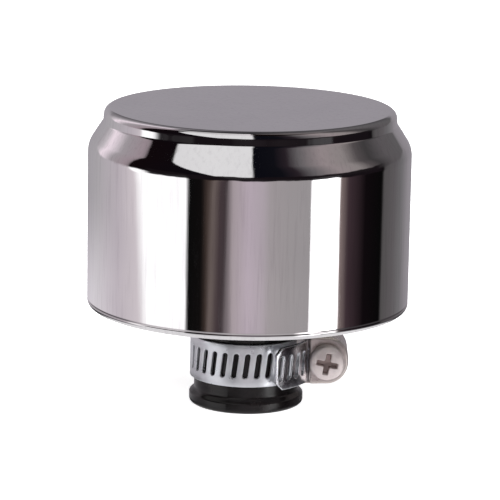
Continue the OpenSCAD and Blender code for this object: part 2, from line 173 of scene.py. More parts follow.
def slottedStrip(length, shape, slots, tipCut=0):
    # A strip of sheet in flat coordinates: s along it, v across it, h through it. Each slot
    # is a cell of rings from the slot's outline out to a leaning rectangle. Plain grids fill
    # the ends, or the first and last cells reach them where the tip's corners are cut off.
    # Returns patches of (s, v, h) points.
    edge = sheetEdge(shape["thickness"], shape["round"])
    half = shape["width"] / 2 - shape["round"]
    pitch, lean = shape["pitch"], -math.tan(math.radians(shape["lean"]))
    flatEdge = half - tipCut if tipCut else shape["flatShare"] * half
    across = np.concatenate([np.linspace(-half, -flatEdge, 3)[:-1],
                             np.linspace(-flatEdge, flatEdge, 7), np.linspace(flatEdge, half, 3)[1:]])
    topSteps = 8
    # one cell, anticlockwise from the lower right corner
    rr = shape["slotWidth"] / 2 + shape["round"]
    straight = (shape["slotHeight"] - shape["slotWidth"]) / 2
    upSide = across[:-1] / half
    alongTop = np.linspace(1, -1, topSteps + 1)[:-1]
    a = np.linspace(0, math.pi, topSteps + 1)[:-1]
    quarter = [np.stack([np.full_like(upSide, rr), upSide * straight], 1),
               np.stack([rr * np.cos(a), straight + rr * np.sin(a)], 1)]
    holeLine = np.concatenate(quarter + [-q for q in quarter])
    rectangle = [np.stack([np.full_like(upSide, pitch / 2), upSide * half], 1),
                 np.stack([alongTop * pitch / 2, np.full_like(alongTop, half)], 1)]
    cellLine = np.concatenate(rectangle + [-r for r in rectangle])
    rings = np.array(shape["rings"])[:, None, None]
    cell = holeLine + rings * (cellLine - holeLine)
    cells = cell[None] + np.array([[s, 0] for s in slots])[:, None, None, :]
    wall = edgeWall(holeLine, edge, outwards=-1)
    walls = wall[None] + np.array([[s, 0, 0] for s in slots])[:, None, None, :]

    def leaning(points):
        out = np.array(points, float)
        out[..., 0] += out[..., 1] * lean
        return out

    def face(points, height, closeColumns=False):
        flat = leaning(points)
        deep = np.full(flat.shape[:-1] + (1,), height)
        return patch(np.concatenate([flat, deep], -1), closeColumns=closeColumns)

    top, inset, endSteps = shape["thickness"] / 2, shape["round"], 5
    startLine = inset - across * lean
    endLine = length - inset - np.maximum(0, np.abs(across) - flatEdge) * (tipCut > 0) - across * lean
    patches = []
    if tipCut:
        # the end cells reach the strip's ends, so their outer lines follow them
        n = len(across) - 1
        toStart, toEnd = startLine - slots[0], endLine - slots[-1]
        first, last = cellLine.copy(), cellLine.copy()
        last[:n, 0] = toEnd[:-1]
        last[n:n + topSteps, 0] = np.linspace(toEnd[-1], -pitch / 2, topSteps + 1)[:-1]
        last[2 * n + topSteps:, 0] = np.linspace(-pitch / 2, toEnd[0], topSteps + 1)[:-1]
        first[n:n + topSteps, 0] = np.linspace(pitch / 2, toStart[-1], topSteps + 1)[:-1]
        first[n + topSteps:2 * n + topSteps, 0] = toStart[::-1][:-1]
        first[2 * n + topSteps:, 0] = np.linspace(toStart[0], pitch / 2, topSteps + 1)[:-1]
        cells[0] = holeLine + rings * (first - holeLine) + np.array([slots[0], 0])
        cells[-1] = holeLine + rings * (last - holeLine) + np.array([slots[-1], 0])
    else:
        k = np.linspace(0, 1, endSteps + 1)[:, None]
        firstCell, lastCell = slots[0] - pitch / 2, slots[-1] + pitch / 2
        startAlong, endAlong = startLine + k * (firstCell - startLine), lastCell + k * (endLine - lastCell)
        startGrid = np.stack([startAlong, np.broadcast_to(across, startAlong.shape)], -1)
        endGrid = np.stack([endAlong, np.broadcast_to(across, endAlong.shape)], -1)
    for height in (top, -top):
        patches.append(face(cells, height, True))
        if not tipCut:
            patches += [face(startGrid, height), face(endGrid, height)]
    patches.append(patch(leaning(walls), closeColumns=True))
    # the outline: up both ends, and along both sides by the cells' own points
    cellEdge = (np.array(slots)[:, None] + np.linspace(-pitch / 2, pitch / 2, topSteps + 1)[None]).ravel()
    cellEdge = cellEdge[np.concatenate([[True], np.diff(cellEdge) > 1e-6])]
    inner = cellEdge[1:-1]
    side = np.full_like(inner, half)
    lower, upper = np.stack([inner, -side], 1), np.stack([inner, side], 1)
    if tipCut:
        # the end cells' own edge points, in place of the even ones
        lower[:topSteps - 1, 0] = np.linspace(startLine[0], slots[0] + pitch / 2, topSteps + 1)[1:-1]
        upper[:topSteps - 1, 0] = np.linspace(startLine[-1], slots[0] + pitch / 2, topSteps + 1)[1:-1]
        lower[1 - topSteps:, 0] = np.linspace(slots[-1] - pitch / 2, endLine[0], topSteps + 1)[1:-1]
        upper[1 - topSteps:, 0] = np.linspace(slots[-1] - pitch / 2, endLine[-1], topSteps + 1)[1:-1]
        startEdge, endEdge = np.stack([startLine, across], 1), np.stack([endLine, across], 1)
        line = [startEdge[:1], lower, endEdge, upper[::-1], startEdge[:0:-1]]
    else:
        line = [startGrid[:, 0], lower, endGrid[:, 0], endGrid[-1, 1:-1], endGrid[::-1, -1], upper[::-1],
                startGrid[::-1, -1], startGrid[0, -2:0:-1]]
    outline = leaning(np.concatenate(line))
    patches.append(patch(edgeWall(outline, edge), closeColumns=True))
    return patches


def wrapStrip(patches, path, place):
    # lays flat (s, v, h) points along a plan path; place turns (plan, v) into x, y, z
    wrapped = []
    for points, quads in patches:
        wrapped.append((place(onPath(path, points[:, 0], points[:, 2]), points[:, 1]), quads))
    return wrapped


def smoothStep(x, low, high):
    # k k (3 - 2 k), where k goes from 0 at low to 1 at high
    k = np.clip((x - low) / (high - low), 0, 1)
    return k * k * (3 - 2 * k)


class Signal:
    # a node's output; arithmetic on it adds Math nodes
    def __init__(self, graph, socket):
        self.graph, self.socket = graph, socket

    def math(self, operation, *values):
        return self.graph.add("ShaderNodeMath", {"operation": operation}, dict(enumerate(values)))

    def output(self, name):
        return Signal(self.graph, self.socket.node.outputs[name])

    def __add__(self, other):
        return self.math("ADD", self, other)

    def __radd__(self, other):
        return self.math("ADD", other, self)

    def __sub__(self, other):
        return self.math("SUBTRACT", self, other)

    def __rsub__(self, other):
        return self.math("SUBTRACT", other, self)

    def __mul__(self, other):
        return self.math("MULTIPLY", self, other)

    def __rmul__(self, other):
        return self.math("MULTIPLY", other, self)

    def __truediv__(self, other):
        return self.math("DIVIDE", self, other)

    def between(self, low, high, outLow=0.0, outHigh=1.0):
        # smooth rise from outLow to outHigh as the value goes from low to high
        return self.graph.add("ShaderNodeMapRange", {"interpolation_type": "SMOOTHSTEP"},
                              {0: self, 1: low, 2: high, 3: outLow, 4: outHigh})


class Graph:
    def __init__(self, tree):
        self.tree = tree
        tree.nodes.clear()

    def add(self, kind, settings=None, inputs=None, output=0):
        # one node: its settings first, then its inputs, as values or links
        node = self.tree.nodes.new(kind)
        for key, value in (settings or {}).items():
            if key == "stops":
                ramp = node.color_ramp
                while len(ramp.elements) > 1:
                    ramp.elements.remove(ramp.elements[-1])
                for n, (position, colour) in enumerate(value):
                    stop = ramp.elements[0] if n == 0 else ramp.elements.new(position)
                    stop.position, stop.color = position, (*colour, 1)
            else:
                setattr(node, key, value)
        for key, value in (inputs or {}).items():
            if isinstance(value, Signal):
                self.tree.links.new(value.socket, node.inputs[key])
            else:
                node.inputs[key].default_value = value
        return Signal(self, node.outputs[output]) if len(node.outputs) else node

    def place(self, scale=(1, 1, 1)):
        # object coordinates in metres, stretched by scale
        spot = self.add("ShaderNodeTexCoord", output="Object")
        return self.add("ShaderNodeMapping", inputs={"Vector": spot, "Scale": scale})

    def noise(self, scale, detail=3.0, roughness=0.55, stretch=(1, 1, 1)):
        return self.add("ShaderNodeTexNoise", inputs={
            "Vector": self.place(stretch), "Scale": scale, "Detail": detail, "Roughness": roughness})

    def blend(self, factor, low, high):
        return self.add("ShaderNodeMix", {"data_type": "RGBA"},
                        {0: factor, 6: (*low, 1) if isinstance(low, tuple) else low,
                         7: (*high, 1) if isinstance(high, tuple) else high}, output=2)

    def bump(self, height, strength, distance):
        return self.add("ShaderNodeBump", inputs={
            "Height": height, "Strength": strength, "Distance": distance})


def newMaterial(name, build, oneSided=False):
    # build(graph) returns the inputs of the Principled shader; a one-sided sheet is clear
    # from behind
    material = bpy.data.materials.new(name)
    material.use_nodes = True
    graph = Graph(material.node_tree)
    shader = graph.add("ShaderNodeBsdfPrincipled", inputs=build(graph))
    if oneSided:
        behind = graph.add("ShaderNodeNewGeometry", output="Backfacing")
        clear = graph.add("ShaderNodeBsdfTransparent")
        shader = graph.add("ShaderNodeMixShader", inputs={0: behind, 1: shader, 2: clear})
    graph.add("ShaderNodeOutputMaterial", inputs={"Surface": shader})
    return material


def chromeFinish(g):
    # mirror plate over polished sheet: fine upright polishing grain, faint cloudiness, and
    # painted shade darkening the crease above the rim
    grain = g.noise(1, 4, 0.6, (1500, 1500, 80))
    cloud = g.noise(60, 2)
    tint = g.blend(cloud.between(0.3, 0.7), (0.79, 0.775, 0.79), (0.84, 0.825, 0.835))
    tint = g.blend(grain.between(0.45, 0.75) * 0.5, tint, (0.66, 0.64, 0.66))
    height = g.add("ShaderNodeSeparateXYZ", inputs={0: g.place()}).output("Z")
    # painted shade: a dark band round the crease just above the rim stands in for the shade there
    shadedCreaseAt, reach, core = 0.0200, 0.0004, 0.0001
    crease = (height.between(shadedCreaseAt - reach, shadedCreaseAt - core)
              * height.between(shadedCreaseAt + reach, shadedCreaseAt + core))
    tint = g.blend(crease * 0.5, tint, (0.40, 0.35, 0.36))
    wave = g.bump(cloud, 0.12, 0.00006)
    lines = g.add("ShaderNodeBump", inputs={
        "Height": grain, "Strength": 0.12, "Distance": 0.00002, "Normal": wave})
    return {"Base Color": tint, "Metallic": 1.0, "Normal": lines,
            "Roughness": 0.025 + grain.between(0.45, 0.75) * 0.05}


def platedFinish(g):
    # bright zinc plate: soft mottling and small scuffs
    mottle = g.noise(420, 4)
    scuff = g.noise(1, 5, 0.65, (900, 900, 2600))
    tint = g.blend(mottle.between(0.35, 0.65), (0.55, 0.55, 0.52), (0.70, 0.70, 0.67))
    return {"Base Color": tint, "Metallic": 1.0, "Normal": g.bump(scuff, 0.15, 0.00003),
            "Roughness": 0.24 + mottle.between(0.3, 0.7) * 0.16}


def wireFinish(g):
    # dull drawn wire, rubbed bright in places
    rub = g.noise(900, 2)
    return {"Base Color": g.blend(rub.between(0.3, 0.7), (0.42, 0.42, 0.41), (0.62, 0.62, 0.60)),
            "Metallic": 1.0, "Roughness": 0.28 + rub.between(0.4, 0.7) * 0.12}


def bandFinish(g):
    # rolled stainless strip: fine lines run along it
    lines = g.noise(1, 3, 0.6, (60, 60, 6500))
    handled = g.noise(330, 3)
    tint = g.blend(handled.between(0.35, 0.7), (0.66, 0.67, 0.71), (0.76, 0.765, 0.80))
    return {"Base Color": tint, "Metallic": 0.85, "Normal": g.bump(lines, 0.22, 0.00002),
            "Roughness": 0.27 + handled.between(0.3, 0.7) * 0.10}


def tailFinish(g):
    # the strip's free end, rubbed to a mirror by the screw
    lines = g.noise(1, 3, 0.6, (60, 60, 6500))
    handled = g.noise(520, 3)
    tint = g.blend(handled.between(0.35, 0.7), (0.60, 0.61, 0.65), (0.78, 0.785, 0.82))
    return {"Base Color": tint, "Metallic": 1.0, "Normal": g.bump(lines, 0.25, 0.00003),
            "Roughness": 0.14 + handled.between(0.3, 0.7) * 0.14}


def housingFinish(g):
    # pressed stainless, warmer and duller, with draw marks
    marks = g.noise(1, 4, 0.6, (2600, 300, 2600))
    haze = g.noise(420, 3)
    tint = g.blend(haze.between(0.3, 0.7), (0.56, 0.495, 0.475), (0.70, 0.63, 0.61))
    return {"Base Color": tint, "Metallic": 0.9, "Normal": g.bump(marks, 0.2, 0.00003),
            "Roughness": 0.26 + haze.between(0.3, 0.7) * 0.12}


def screwFinish(g):
    # dull zinc with a fine sandy grain and a faint warm tone, and painted shade inside the recess
    sand = g.noise(5200, 3, 0.7)
    cloud = g.noise(700, 2)
    tint = g.blend(cloud.between(0.3, 0.7), (0.68, 0.60, 0.595), (0.79, 0.715, 0.705))
    spot = g.add("ShaderNodeSeparateXYZ", inputs={0: g.place()})
    axisX, axisZ, facePlane, floorPlane, edge, inside = 0.015, 0.0092, -0.00775, -0.0072, 0.0025, 0.0023
    aside, above = spot.output("X") - axisX, spot.output("Z") - axisZ
    square = aside * aside + above * above
    reach = square.math("SQRT", square)
    # painted shade: points inside the cross recess are darkened to stand in for the shade there
    sunk = spot.output("Y").between(facePlane, floorPlane) * reach.between(edge, inside)
    tint = g.blend(sunk, tint, (0.33, 0.255, 0.245))
    return {"Base Color": tint, "Metallic": 0.75, "Normal": g.bump(sand, 0.35, 0.00003),
            "Roughness": 0.42 + cloud.between(0.3, 0.7) * 0.12}


def rubberFinish(g):
    # moulded black rubber: faint bloom and a fine mould texture
    bloom = g.noise(260, 4, 0.6)
    skin = g.noise(6500, 2)
    tint = g.blend(bloom.between(0.35, 0.75), (0.0025, 0.0019, 0.0021), (0.008, 0.006, 0.0064))
    return {"Base Color": tint, "Normal": g.bump(skin, 0.12, 0.00002), "Specular IOR Level": 0.36,
            "Roughness": 0.16 + bloom.between(0.3, 0.7) * 0.12}


def paperFinish(g):
    # resin-treated filter paper: fibres across a warm ground
    fibre = g.noise(1, 5, 0.7, (3200, 3200, 700))
    stain = g.noise(150, 3)
    tint = g.blend(fibre.between(0.35, 0.7), (0.50, 0.33, 0.15), (0.72, 0.54, 0.30))
    tint = g.blend(stain.between(0.4, 0.8) * 0.35, tint, (0.40, 0.27, 0.13))
    return {"Base Color": tint, "Normal": g.bump(fibre, 0.5, 0.00005), "Roughness": 0.86}


def gasketFinish(g):
    # pressed cork and rubber: pale grains in a dark binder
    grains = g.add("ShaderNodeTexVoronoi", inputs={"Vector": g.place(), "Scale": 1500.0}, output="Color")
    pick = g.add("ShaderNodeSeparateColor", inputs={"Color": grains})
    tint = g.blend(pick.between(0.55, 0.8), (0.030, 0.028, 0.026), (0.20, 0.13, 0.075))
    return {"Base Color": tint, "Normal": g.bump(pick, 0.3, 0.00004), "Roughness": 0.78}


finishes = {name: newMaterial(name, build) for name, build in {
    "brightChrome": chromeFinish, "platedSteel": platedFinish, "wire": wireFinish,
    "filterPaper": paperFinish, "corkGasket": gasketFinish, "neckRubber": rubberFinish,
    "bandSteel": bandFinish, "tailSteel": tailFinish, "housingSteel": housingFinish,
    "screwZinc": screwFinish}.items()}
print("finishes made:", len(finishes))


cap = {"radius": 30, "thickness": 0.8, "hem": 0.9, "hemFrom": 115, "lean": 33, "shoulder": 5,
       "slope": 3.45, "hollow": 0.8, "crown": 1.4, "crownSide": 1.1, "crownLean": 5,
       "crease": 0.025, "creaseHeight": 0.8, "creaseShare": 0.6, "innerFoot": 0.35, "segments": 360}


def capLine(inset, wallTop, steps=(22, 14, 20)):
    # the shoulder as three arcs: out of the wall, back up at the crown's foot, over its edge
    lean, upright = math.radians(cap["lean"]), math.radians(cap["crownLean"])
    bendCentre = np.array([cap["radius"] - cap["shoulder"], wallTop])
    outward = np.array([math.cos(lean), math.sin(lean)])
    slopeEnd = bendCentre + cap["shoulder"] * outward + cap["slope"] * np.array([-outward[1], outward[0]])
    hollowCentre = slopeEnd + cap["hollow"] * outward
    crownOut = np.array([math.cos(upright), math.sin(upright)])
    crownUp = np.array([-math.sin(upright), math.cos(upright)])
    crownCentre = hollowCentre - (cap["hollow"] + cap["crown"]) * crownOut + cap["crownSide"] * crownUp
    bend = arc(bendCentre, cap["shoulder"] - inset, 0, cap["lean"], steps[0])
    foot = arc(hollowCentre, cap["hollow"] + inset, 180 + cap["lean"], 180 + cap["crownLean"], steps[1])
    slope = bend[-1] + np.linspace(0, 1, 8)[1:-1, None] * (foot[0] - bend[-1])
    crown = arc(crownCentre, cap["crown"] - inset, cap["crownLean"], 90, steps[2])
    side = foot[-1] + np.linspace(0, 1, 6)[1:-1, None] * (crown[0] - foot[-1])
    return np.concatenate([bend, slope, foot, side, crown])


def heights(node):
    # lowest and highest point of a CAD node, in millimetres
    return tuple(c.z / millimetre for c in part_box(node))


def makeCap():
    # the hem, wall, shoulder and roof as one line turned round the axis, and the same line
    # a sheet's thickness further in for the inside
    low, high = heights("cap_shell")
    lean, upright = math.radians(cap["lean"]), math.radians(cap["crownLean"])
    wallTop = (high - cap["shoulder"] * math.sin(lean) - cap["slope"] * math.cos(lean)
               - cap["hollow"] * (math.sin(lean) - math.sin(upright)) - cap["crownSide"] * math.cos(upright)
               - cap["crown"] * (1 - math.sin(upright)))
    outer, inner = capLine(0, wallTop), capLine(cap["thickness"], wallTop)
    hem = arc([cap["radius"] - cap["hem"], low + cap["hem"]], cap["hem"], cap["hemFrom"], 360, 28)
    # a shallow crease runs round above the rolled hem
    rise = np.linspace(0, 1, 12)[1:, None]
    creaseTop = np.array([cap["radius"], hem[-1, 1] + cap["creaseHeight"]])
    crease = hem[-1] + rise * (creaseTop - hem[-1])
    crease[:, 0] -= cap["crease"] * np.sin(math.pi * np.clip(rise[:, 0] / cap["creaseShare"], 0, 1)) ** 2
    hem = np.concatenate([hem, crease])
    wall = np.linspace(0, 1, 14)[1:-1, None]
    outerWall = hem[-1] + wall * (outer[0] - hem[-1])
    innerFoot = np.array([cap["radius"] - cap["thickness"], hem[0, 1] + cap["innerFoot"]])
    innerWall = inner[0] + wall * (innerFoot - inner[0])
    disc = np.linspace(1, 0, 12)[1:, None]
    roof = outer[-1] * np.concatenate([disc, np.ones_like(disc)], 1)
    ceiling = (inner[-1] * np.concatenate([disc, np.ones_like(disc)], 1))[::-1]
    outside = np.concatenate([hem, outerWall, outer, roof])
    inside = np.concatenate([ceiling, inner[::-1], innerWall, innerFoot[None], hem[:1]])
    sides = [lathe(line, cap["segments"], closed=False) for line in (outside, inside)]
    buildPiece("capShell", sides, "cap", finishes["brightChrome"], ["cap_shell"])


makeCap()


stud = {"radius": 2, "pitch": 0.7, "depth": 0.38, "point": 0.45, "pointSpan": 0.6, "runIn": 0.8,
        "runOut": 1, "threadSpan": 24, "flange": 3.4, "flangeHigh": 0.8, "chamfer": 0.2, "segments": 40}


def makeStud():
    # radius less a triangle wave of height and angle, which fades out at the tip and at the
    # end of the thread's span; the flange is turned
    low, high = heights("cap_stud")
    d, segments = stud, stud["segments"]
    top, threadEnd = high - d["flangeHigh"], low + d["threadSpan"]
    z = np.arange(low, top, d["pitch"] / 10)
    a = np.linspace(0, fullTurn, segments, endpoint=False)
    phase = (z[:, None] / d["pitch"] - a[None] / fullTurn) % 1
    fade = smoothStep(z, low, low + d["runIn"]) * (1 - smoothStep(z, threadEnd - d["runOut"], threadEnd))
    point = d["point"] * (1 - smoothStep(z, low - 0.1, low + d["pointSpan"]))
    r = d["radius"] - d["depth"] * fade[:, None] * (1 - np.abs(2 * phase - 1)) - point[:, None]
    flange = np.array([[d["radius"], top], [d["flange"] - d["chamfer"], top],
                       [d["flange"], top + d["chamfer"]], [d["flange"], high], [0, high]])
    rows = np.concatenate([np.zeros((1, segments)), r, np.repeat(flange[:, :1], segments, 1)])
    height = np.concatenate([[low], z, flange[:, 1]])
    height = np.broadcast_to(height[:, None], rows.shape)
    points = np.stack([rows * np.cos(a), rows * np.sin(a), height], -1)
    buildPiece("capStud", [patch(points, closeColumns=True)], "cap",
               finishes["platedSteel"], ["cap_stud"])


def makeRing(name, node, body, finish, corners, steps=5):
    # a turned piece: its corners are (r, z, rounding)
    buildPiece(name, [lathe(roundedOutline(corners, steps), 200)], body, finishes[finish], [node])


makeStud()

studPlate = {"radius": 15, "dish": 1.8, "dishDepth": 0.7, "chamfer": 0.1, "steps": 9}


def makeStudPlate():
    # a flat disc whose edge curls up: height rises with the fourth power over the dish
    low, high = heights("stud_plate")
    p = studPlate
    r = p["radius"] - p["dish"] * np.linspace(1, 0, p["steps"])
    curl = low + p["dishDepth"] * np.linspace(0, 1, p["steps"]) ** 4
    edge = [[p["radius"], high - p["chamfer"]], [p["radius"] - p["chamfer"], high], [0, high]]
    line = np.concatenate([[[0, low]], np.stack([r, curl], 1), edge])
    buildPiece("studPlate", [lathe(line, 160, closed=False)], "cap",
               finishes["platedSteel"], ["stud_plate"])


makeStudPlate()

endPlate = {"outer": 23.6, "sheet": 0.7, "rim": 0.5, "shoulder": 0.6, "edge": 0.2, "lip": 11.6,
            "lipShort": 1, "studHole": 2.3}


def makeEndPlate(name, node, holeRadius, faceAt, inward):
    # section: flat sheet, an outer rim and a lip that centres the core
    low, high = heights(node)
    e = endPlate

    def z(depth):
        return faceAt + inward * depth

    span, lipEnd, lipInside = high - low, high - low - e["lipShort"], e["lip"] - e["rim"]
    corners = [(holeRadius, z(0), e["edge"]), (e["outer"], z(0), e["shoulder"]),
               (e["outer"], z(span), e["edge"]), (e["outer"] - e["rim"], z(span), e["edge"]),
               (e["outer"] - e["rim"], z(e["sheet"]), e["edge"]), (e["lip"], z(e["sheet"]), e["edge"]),
               (e["lip"], z(lipEnd), e["edge"]), (lipInside, z(lipEnd), e["edge"])]
    if holeRadius < lipInside - 0.1:
        corners += [(lipInside, z(e["sheet"]), e["edge"]), (holeRadius, z(e["sheet"]), e["edge"])]
    else:
        corners[0] = (lipInside, z(0), e["edge"])
    makeRing(name, node, "element", "platedSteel", corners)


makeEndPlate("upperEndPlate", "upper_end_plate", endPlate["studHole"], heights("upper_end_plate")[1], -1)
makeEndPlate("lowerEndPlate", "lower_end_plate", endPlate["lip"] - endPlate["rim"],
             heights("lower_end_plate")[0], 1)

gaskets = {"edge": 0.2, "top": (4.2, 14), "lower": (11.85, 21.5)}  # inner and outer radius


def makeGasket(name, node, inside, outside):
    # a flat ring with rounded edges
    low, high = heights(node)
    corners = [(inside, low), (outside, low), (outside, high), (inside, high)]
    makeRing(name, node, "element", "corkGasket", [(r, z, gaskets["edge"]) for r, z in corners])


makeGasket("topGasket", "top_gasket", *gaskets["top"])
makeGasket("lowerGasket", "lower_gasket", *gaskets["lower"])
print("cap, stud and end plates made")

media = {"pleats": 44, "inner": 13.1, "outer": 22.1, "paper": 0.42, "sharpness": 0.985,
         "samples": 16, "rows": 9}


def makeMedia():
    # mid-line radius is a rounded triangle wave of the angle; the paper stands half its
    # thickness to each side of it
    low, high = heights("filter_media")
    count = media["pleats"] * media["samples"]
    a = np.linspace(0, fullTurn, count, endpoint=False)
    wave = np.arcsin(media["sharpness"] * np.sin(media["pleats"] * a)) / math.asin(media["sharpness"])
    r = (media["inner"] + media["outer"]) / 2 + wave * (media["outer"] - media["inner"]) / 2
    line = np.stack([r * np.cos(a), r * np.sin(a)], 1)
    way = np.roll(line, -1, axis=0) - np.roll(line, 1, axis=0)
    way /= np.linalg.norm(way, axis=1)[:, None]
    normal = np.stack([way[:, 1], -way[:, 0]], 1)
    z = np.linspace(low, high, media["rows"])
    half = media["paper"] / 2
    depth = np.repeat([half, -half], media["rows"])
    section = np.stack([depth, np.concatenate([z, z[::-1]])], 1)
    flat = line[None] + section[:, 0, None, None] * normal[None]
    height = np.broadcast_to(section[:, 1, None, None], flat.shape[:2] + (1,))
    points = np.concatenate([flat, height], -1)
    buildPiece("filterMedia", [patch(points, closeRows=True, closeColumns=True)], "element",
               finishes["filterPaper"], ["filter_media"])


makeMedia()

mesh = {"radius": 22.7, "wire": 0.15, "uprights": 94, "hoops": 19, "steps": 4, "sides": 5}


def makeScreen():
    # plain weave: uprights and hoops swap sides at every crossing, as cosines of opposite sign
    low, high = heights("outer_screen")
    spots = np.arange(mesh["uprights"])
    step = fullTurn / mesh["uprights"]
    rowGap = (high - low) / mesh["hoops"]
    around = np.linspace(0, fullTurn, mesh["sides"], endpoint=False)

    def tubes(angle, z, r, side):
        # side is 1 where the wire runs up and 0 where it runs round
        radial = np.stack([np.cos(angle), np.sin(angle), 0 * angle], -1)
        tangent = np.stack([-np.sin(angle), np.cos(angle), 0 * angle], -1)
        across = tangent if side else np.broadcast_to([0.0, 0.0, 1.0], tangent.shape)
        middle = radial * r[..., None]
        middle[..., 2] = z
        return (middle[..., None, :] + mesh["wire"] * (np.cos(around)[:, None] * radial[..., None, :]
                + np.sin(around)[:, None] * across[..., None, :]))

    k = np.linspace(0, mesh["hoops"], mesh["hoops"] * mesh["steps"] + 1)
    angle, up = np.meshgrid(spots * step, k, indexing="ij")
    r = mesh["radius"] + mesh["wire"] * np.cos(math.pi * (up - 0.5 + spots[:, None]))
    uprights = tubes(angle, low + up * rowGap, r, 1)
    ends = uprights.mean(axis=2, keepdims=True)
    uprights = np.concatenate([np.repeat(ends[:, :1], mesh["sides"], 2), uprights,
                               np.repeat(ends[:, -1:], mesh["sides"], 2)], 1)
    turn = np.arange(mesh["uprights"] * mesh["steps"]) / mesh["steps"]
    row, at = np.meshgrid(np.arange(mesh["hoops"]), turn, indexing="ij")
    r = mesh["radius"] - mesh["wire"] * np.cos(math.pi * (at + row))
    hoops = tubes(at * step, low + (row + 0.5) * rowGap, r, 0)
    buildPiece("outerScreen", [patch(uprights, closeColumns=True), patch(hoops, True, True)], "element",
               finishes["wire"], ["outer_screen"])


makeScreen()


basePlate = {"hole": 5.9, "radius": 23.6, "edge": 0.35, "holeEdge": 0.2}


def makeBasePlate():
    # a flat disc with a hole, its edges rounded
    low, high = heights("base_plate")
    b = basePlate
    makeRing("basePlate", "base_plate", "base", "platedSteel",
             [(b["hole"], low, b["holeEdge"]), (b["radius"], low, b["edge"]),
              (b["radius"], high, b["edge"]), (b["hole"], high, b["holeEdge"])])


makeBasePlate()

neck = {"bore": 6.35, "grip": 9.8, "bead": 10.7, "beadTop": 1.95, "groove": 2.75, "flange": 14.5,
        "flangeUnder": 16.6, "collar": 6.7, "collarFoot": 13.8, "collarFlange": 10.4, "flangeTop": 18.6,
        "ridge": 0.05, "ridgeFrom": 9.6, "ridgeTop": 4, "ridgeTurn": 0.35, "ridgeWide": 0.012,
        "recessEdge": 0.08, "segments": 240}


def makeNeck():
    # the neck's section turned round the axis, corners as (r, z, rounding)
    low, high = heights("rubber_neck")
    n = neck
    sharp = n["recessEdge"]
    profile = roundedOutline([
        (n["bore"], low, 0.4), (n["bead"], low, 0.75), (n["bead"], n["beadTop"], 0.35),
        (n["grip"], n["groove"], 0.6), (n["grip"], n["flangeUnder"], 1.6),
        (n["flange"], n["flangeUnder"], 0.5), (n["flange"], high, 0.3), (n["collarFlange"], high, sharp),
        (n["collarFlange"], n["flangeTop"], sharp), (n["collar"], n["flangeTop"], sharp),
        (n["collar"], n["collarFoot"], sharp), (n["bore"], n["collarFoot"], sharp)], 7)
    points, quads = lathe(profile, n["segments"])
    # moulding line: a low ridge up each side of the bead, a little past a quarter turn from
    # the screw
    angle = np.arctan2(points[:, 1], points[:, 0])
    ridge = n["ridge"] * np.exp(-((np.abs(angle) - math.pi / 2 - n["ridgeTurn"]) / n["ridgeWide"]) ** 2)
    radius = np.hypot(points[:, 0], points[:, 1])
    outside = smoothStep(radius, n["ridgeFrom"], n["ridgeFrom"] + 0.15)
    outside = outside * (1 - smoothStep(points[:, 2], n["ridgeTop"], n["ridgeTop"] + 0.6))
    points = points * np.stack([1 + ridge * outside / 10] * 2 + [np.ones(len(points))], 1)
    buildPiece("rubberNeck", [(points, quads)], "base", finishes["neckRubber"],
               ["rubber_neck"])


makeNeck()


clamp = {"z": 9.2, "loopMid": 10.25, "rampStart": 75, "fixedEnd": 20, "tailRadius": 15.1,
         "tailX": -3.05, "tip": -56, "seamSteps": 2, "seamGap": 0.6, "rampPull": 3.6,
         "slotPhase": -89.7, "firstSlot": 2.2, "lastSlot": 1.3, "tailSlots": (1, -8), "tipCut": 1.3,
         "loopSteps": 900, "rampSteps": 200, "tailSteps": 600}
band = {"thickness": 0.7, "width": 8, "round": 0.1, "pitch": 2.1, "lean": 7, "slotWidth": 1,
        "slotHeight": 4.7, "flatShare": 0.7, "rings": (0, 0.12, 0.5, 1)}


def onNeck(plan, v):
    # a plan point with the strip's v standing upright round the clamp's middle
    return np.concatenate([plan, clamp["z"] + v[:, None]], 1)


def makeLoop():
    # the loop runs clockwise from its fixed end, then leaves on a cubic curve to the housing
    c = clamp
    tailStep = math.degrees(band["pitch"] / c["tailRadius"])
    seam = math.radians(c["seamSteps"] * tailStep + c["seamGap"] / 2)
    ring = arc([0, 0], c["loopMid"], c["fixedEnd"], c["rampStart"] - 360, c["loopSteps"])
    start = math.radians(c["rampStart"])
    fromPoint = ring[-1]
    seamWay = np.array([math.cos(seam), math.sin(seam)])
    toPoint = np.array([c["tailX"], 0]) + c["tailRadius"] * seamWay
    pull1 = fromPoint + c["rampPull"] * np.array([math.sin(start), -math.cos(start)])
    pull2 = toPoint - c["rampPull"] * np.array([math.sin(seam), -math.cos(seam)])
    t = np.linspace(0, 1, c["rampSteps"])[1:, None]
    ramp = ((1 - t) ** 3 * fromPoint + 3 * t * (1 - t) ** 2 * pull1 + 3 * t ** 2 * (1 - t) * pull2
            + t ** 3 * toPoint)
    path = makePath(np.concatenate([ring, ramp]), 1)
    length = path["length"][-1]
    firstAt = math.radians(c["fixedEnd"] - c["slotPhase"]) * c["loopMid"]
    slots = np.arange(firstAt % band["pitch"], length, band["pitch"])
    slots = slots[(slots > c["firstSlot"]) & (slots < length - c["lastSlot"])]
    flat = slottedStrip(length, band, slots)
    buildPiece("clampBand", wrapStrip(flat, path, onNeck), "clamp", finishes["bandSteel"],
               ["clamp_band"])


def makeTail():
    # one arc from the seam under the screw round to the tip, its slots a thread's pitch apart
    c = clamp
    tailStep = math.degrees(band["pitch"] / c["tailRadius"])
    begin = c["seamSteps"] * tailStep - c["seamGap"] / 2
    ring = arc([c["tailX"], 0], c["tailRadius"], begin, c["tip"], c["tailSteps"])
    path = makePath(ring, 1)
    slots = np.radians(begin - (np.arange(*c["tailSlots"], -1) + 0.5) * tailStep) * c["tailRadius"]
    flat = slottedStrip(path["length"][-1], band, slots, c["tipCut"])
    buildPiece("clampTail", wrapStrip(flat, path, onNeck), "band_end", finishes["tailSteel"],
               ["clamp_tail"])


makeLoop()
makeTail()

